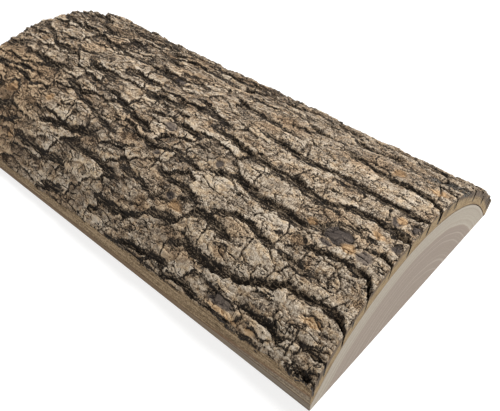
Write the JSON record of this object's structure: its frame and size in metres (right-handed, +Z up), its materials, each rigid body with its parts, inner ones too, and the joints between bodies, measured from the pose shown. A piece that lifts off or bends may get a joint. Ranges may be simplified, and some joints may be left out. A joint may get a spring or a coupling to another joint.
{
  "type": "bark-on ash wood board",
  "caption": "Bark-on slab sawn from an ash log: flat sawn underside, square-cut ends and long sides, and a domed top of deeply furrowed bark.",
  "frame": {"origin": "middle of the flat sawn underside's rectangle, on the surface that the board lies on", "axes": "+X along the log towards the end that the picture shows whole, +Y across towards the far long side, +Z up through the bark"},
  "size_m": [0.356, 0.203, 0.0673],
  "materials": {
    "wood": "sawn and dry: pale sapwood outside, a greyer brown middle, faint growth rings",
    "bark": "rough and matt: pale grey-tan flaky ridge tops, near-black furrows, tan inner bark where it is sawn"
  },
  "bodies": {
    "root": {"wood": "wood", "bark": "bark"}
  },
  "joints": []
}
